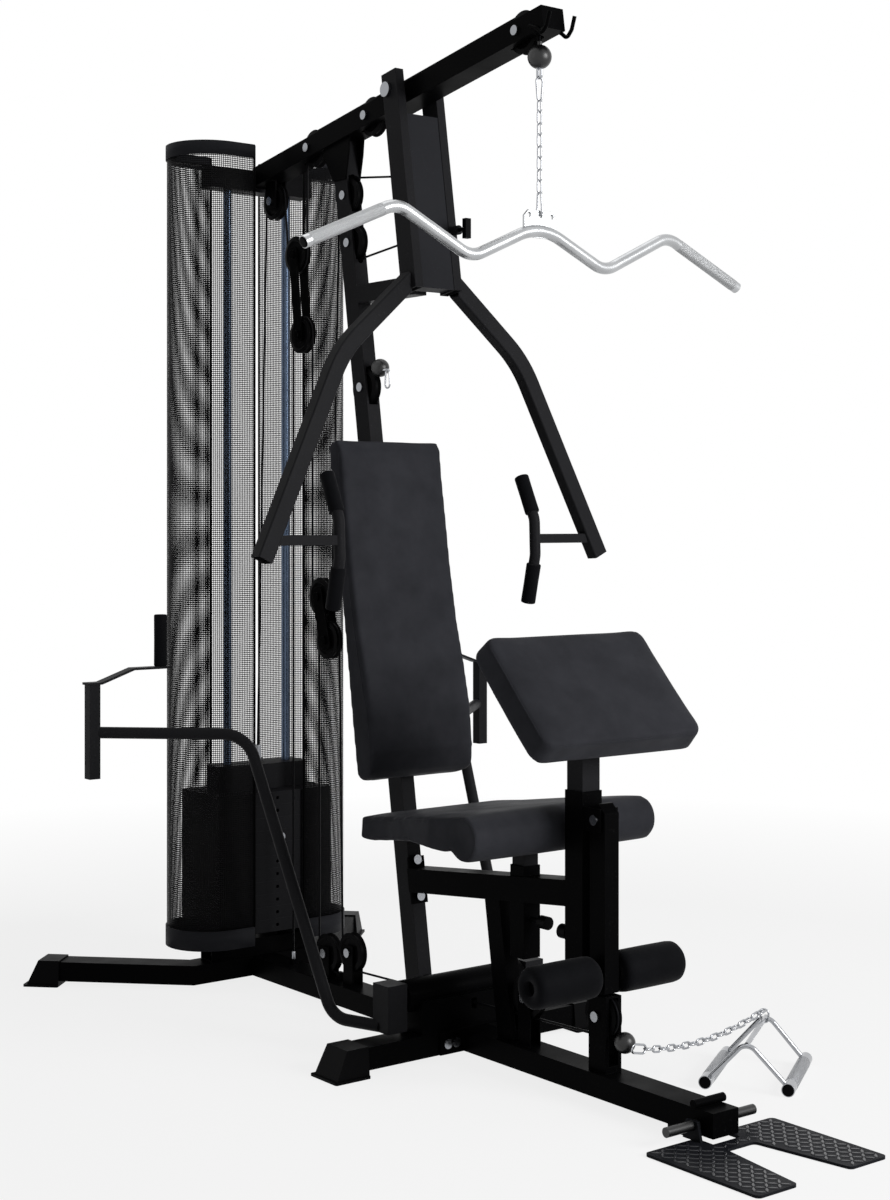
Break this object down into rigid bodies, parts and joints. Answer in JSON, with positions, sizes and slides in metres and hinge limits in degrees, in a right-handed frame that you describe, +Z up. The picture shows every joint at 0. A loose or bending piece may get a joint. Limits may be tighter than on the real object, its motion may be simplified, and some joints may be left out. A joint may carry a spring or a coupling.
{
  "type": "multi station home gym",
  "caption": "Multi station home gym with a weight stack tower, lat pull-down bar, press arms, rear arms, curl pad, leg lever, low pulley and foot plate.",
  "frame": {"origin": "on the floor, midway between the front edge of the foot plate and the rear feet, on the machine's centre plane", "axes": "+Z up, -Y the way the seated user faces, +Y towards the weight tower, +X to the right of someone who faces the seat from the front; left and right in the names are that person's"},
  "size_m": [1.1216, 2.084, 2.1081],
  "materials": {
    "black_paint": "near-black speckled powder coat",
    "mesh_paint": "dark grey perforated sheet, powder coated",
    "steel": "zinc plated bolts and axles",
    "chrome": "bright chrome",
    "rod_steel": "dark ground steel guide rods",
    "plate_black": "black weight plates",
    "vinyl": "dark charcoal vinyl over foam",
    "foam": "dense black foam",
    "black_plastic": "black moulded plastic",
    "cable_black": "black sheathed steel cable",
    "tread": "dark grey tread plate"
  },
  "bodies": {
    "frame": {"front_base_beam": "black_paint", "rear_base_frame": "black_paint", "mid_stabiliser": "black_paint", "feet": "black_plastic", "frame_bolts": "steel", "upright": "black_paint", "top_beam": "black_paint", "rubber_bumpers": "foam", "tower_crossbar": "black_paint", "guide_rods": "rod_steel", "shroud_left": "mesh_paint", "shroud_right": "mesh_paint", "resting_plates": "plate_black", "seat_beam": "black_paint", "back_pad": "vinyl", "cables": "cable_black", "pulley_blocks": "black_paint", "stack_drop_cable": "cable_black"},
    "foot_plate": {"foot_plate": "tread"},
    "stack": {"lifted_plates": "plate_black", "stack_carrier": "black_paint", "selector_rod": "steel"},
    "selector_pin": {"selector_pin": "chrome"},
    "lat_bar": {"lat_bar": "chrome", "lat_chain": "chrome"},
    "press_frame": {"press_frame": "black_paint", "press_cover": "black_paint", "press_arms": "black_paint", "press_grips": "foam"},
    "press_lock_knob": {"press_lock_knob": "black_plastic"},
    "rear_arm_left": {"rear_arm_left": "black_paint", "rear_grip_left": "foam"},
    "rear_arm_right": {"rear_arm_right": "black_paint", "rear_grip_right": "foam"},
    "seat": {"seat_post": "black_paint", "seat_pad": "vinyl"},
    "seat_knob": {"seat_knob": "black_plastic"},
    "curl_pad": {"curl_post": "black_paint", "curl_pad": "vinyl"},
    "curl_knob": {"curl_knob": "black_plastic"},
    "leg_lever": {"leg_lever": "black_paint"},
    "foam_rollers": {"foam_rollers": "foam"},
    "low_row": {"row_handle": "chrome", "low_chain": "chrome"},
    "crunch_link": {"crunch_link": "chrome"},
    "lat_pulley": {"lat_pulley": "black_plastic"},
    "beam_mid_pulley": {"beam_mid_pulley": "black_plastic"},
    "beam_rear_pulley": {"beam_rear_pulley": "black_plastic"},
    "tower_pulley": {"tower_pulley": "black_plastic"},
    "strap_upper_pulley": {"strap_upper_pulley": "black_plastic"},
    "strap_lower_pulley": {"strap_lower_pulley": "black_plastic"},
    "press_upper_pulley": {"press_upper_pulley": "black_plastic"},
    "press_lower_pulley": {"press_lower_pulley": "black_plastic"},
    "crunch_pulley": {"crunch_pulley": "black_plastic"},
    "back_upper_pulley": {"back_upper_pulley": "black_plastic"},
    "back_lower_pulley": {"back_lower_pulley": "black_plastic"},
    "base_rear_pulley": {"base_rear_pulley": "black_plastic"},
    "base_front_pulley": {"base_front_pulley": "black_plastic"},
    "base_mid_pulley": {"base_mid_pulley": "black_plastic"},
    "low_pulley": {"low_pulley": "black_plastic"}
  },
  "joints": [
    {"name": "stack_lift", "type": "slide", "parent": "frame", "child": "stack", "axis": [0, 0, 1], "range_m": [0, 0.6], "deforming": ["stack_drop_cable"]},
    {"name": "lat_pull", "type": "slide", "parent": "frame", "child": "lat_bar", "axis": [0, 0, -1], "range_m": [0, 0.6]},
    {"name": "selector_pin_pull", "type": "slide", "parent": "stack", "child": "selector_pin", "axis": [0, -1, 0], "range_m": [0, 0.044]},
    {"name": "press_arm_swing", "type": "hinge", "parent": "frame", "child": "press_frame", "pos_m": [0, 0.114, 2.012], "axis": [-1, 0, 0], "range_deg": [0, 30]},
    {"name": "press_lock_pull", "type": "slide", "parent": "press_frame", "child": "press_lock_knob", "axis": [0, -1, 0], "range_m": [0, 0.012], "stiffness_N_per_m": 500},
    {"name": "rear_arm_left_swing", "type": "hinge", "parent": "frame", "child": "rear_arm_left", "pos_m": [0, -0.058, 0.13], "axis": [1, 0, 0], "range_deg": [0, 25]},
    {"name": "rear_arm_right_swing", "type": "hinge", "parent": "frame", "child": "rear_arm_right", "pos_m": [0, -0.058, 0.13], "axis": [1, 0, 0], "range_deg": [0, 25]},
    {"name": "seat_height", "type": "slide", "parent": "frame", "child": "seat", "axis": [0, 0, 1], "range_m": [0, 0.08]},
    {"name": "seat_knob_pull", "type": "slide", "parent": "frame", "child": "seat_knob", "axis": [0, -1, 0], "range_m": [0, 0.012], "stiffness_N_per_m": 500},
    {"name": "curl_pad_height", "type": "slide", "parent": "frame", "child": "curl_pad", "axis": [0, 0, 1], "range_m": [0, 0.1]},
    {"name": "curl_knob_pull", "type": "slide", "parent": "frame", "child": "curl_knob", "axis": [0, 1, 0], "range_m": [0, 0.012], "stiffness_N_per_m": 500},
    {"name": "leg_lever_swing", "type": "hinge", "parent": "frame", "child": "leg_lever", "pos_m": [0, -0.498, 0.531], "axis": [-1, 0, 0], "range_deg": [0, 90]},
    {"name": "foam_roller_spin", "type": "hinge", "parent": "leg_lever", "child": "foam_rollers", "pos_m": [0, -0.498, 0.237], "axis": [1, 0, 0], "continuous": true},
    {"name": "foot_plate_fold", "type": "hinge", "parent": "frame", "child": "foot_plate", "pos_m": [0, -0.777, 0.03], "axis": [-1, 0, 0], "range_deg": [0, 90]},
    {"name": "low_row_pull", "type": "slide", "parent": "frame", "child": "low_row", "axis": [0, -0.94, 0.3412], "range_m": [0, 0.5]},
    {"name": "crunch_pull", "type": "slide", "parent": "frame", "child": "crunch_link", "axis": [0, -1, 0], "range_m": [0, 0.3]},
    {"name": "lat_pulley_spin", "type": "hinge", "parent": "frame", "child": "lat_pulley", "pos_m": [0, -0.2708, 2.06514], "axis": [1, 0, 0], "continuous": true},
    {"name": "beam_mid_pulley_spin", "type": "hinge", "parent": "frame", "child": "beam_mid_pulley", "pos_m": [0, 0.246, 1.98421], "axis": [1, 0, 0], "continuous": true},
    {"name": "beam_rear_pulley_spin", "type": "hinge", "parent": "frame", "child": "beam_rear_pulley", "pos_m": [0, 0.474, 1.9485], "axis": [1, 0, 0], "continuous": true},
    {"name": "tower_pulley_spin", "type": "hinge", "parent": "frame", "child": "tower_pulley", "pos_m": [0, 0.649, 1.85], "axis": [1, 0, 0], "continuous": true},
    {"name": "strap_upper_pulley_spin", "type": "hinge", "parent": "frame", "child": "strap_upper_pulley", "pos_m": [0, 0.5544, 1.714], "axis": [1, 0, 0], "continuous": true},
    {"name": "strap_lower_pulley_spin", "type": "hinge", "parent": "frame", "child": "strap_lower_pulley", "pos_m": [0, 0.533, 1.526], "axis": [1, 0, 0], "continuous": true},
    {"name": "press_upper_pulley_spin", "type": "hinge", "parent": "frame", "child": "press_upper_pulley", "pos_m": [0, 0.34339, 1.823], "axis": [1, 0, 0], "continuous": true},
    {"name": "press_lower_pulley_spin", "type": "hinge", "parent": "frame", "child": "press_lower_pulley", "pos_m": [0, 0.32667, 1.715], "axis": [1, 0, 0], "continuous": true},
    {"name": "crunch_pulley_spin", "type": "hinge", "parent": "frame", "child": "crunch_pulley", "pos_m": [0, 0.27636, 1.39], "axis": [1, 0, 0], "continuous": true},
    {"name": "back_upper_pulley_spin", "type": "hinge", "parent": "frame", "child": "back_upper_pulley", "pos_m": [0, 0.4526, 0.921], "axis": [1, 0, 0], "continuous": true},
    {"name": "back_lower_pulley_spin", "type": "hinge", "parent": "frame", "child": "back_lower_pulley", "pos_m": [0, 0.424, 0.823], "axis": [1, 0, 0], "continuous": true},
    {"name": "base_rear_pulley_spin", "type": "hinge", "parent": "frame", "child": "base_rear_pulley", "pos_m": [0, 0.424, 0.112], "axis": [1, 0, 0], "continuous": true},
    {"name": "base_front_pulley_spin", "type": "hinge", "parent": "frame", "child": "base_front_pulley", "pos_m": [0, 0.33, 0.13], "axis": [1, 0, 0], "continuous": true},
    {"name": "base_mid_pulley_spin", "type": "hinge", "parent": "frame", "child": "base_mid_pulley", "pos_m": [0, -0.28, 0.152], "axis": [1, 0, 0], "continuous": true},
    {"name": "low_pulley_spin", "type": "hinge", "parent": "frame", "child": "low_pulley", "pos_m": [0, -0.497, 0.16], "axis": [1, 0, 0], "continuous": true}
  ],
  "couplings": [
    {"joint": "lat_pull", "follows": "stack_lift", "ratio": 1},
    {"joint": "lat_pulley_spin", "follows": "stack_lift", "rad_per_m": 24.876},
    {"joint": "beam_mid_pulley_spin", "follows": "stack_lift", "rad_per_m": 24.876},
    {"joint": "beam_rear_pulley_spin", "follows": "stack_lift", "rad_per_m": 24.876},
    {"joint": "strap_upper_pulley_spin", "follows": "stack_lift", "rad_per_m": -24.876},
    {"joint": "tower_pulley_spin", "follows": "stack_lift", "rad_per_m": 24.876}
  ]
}
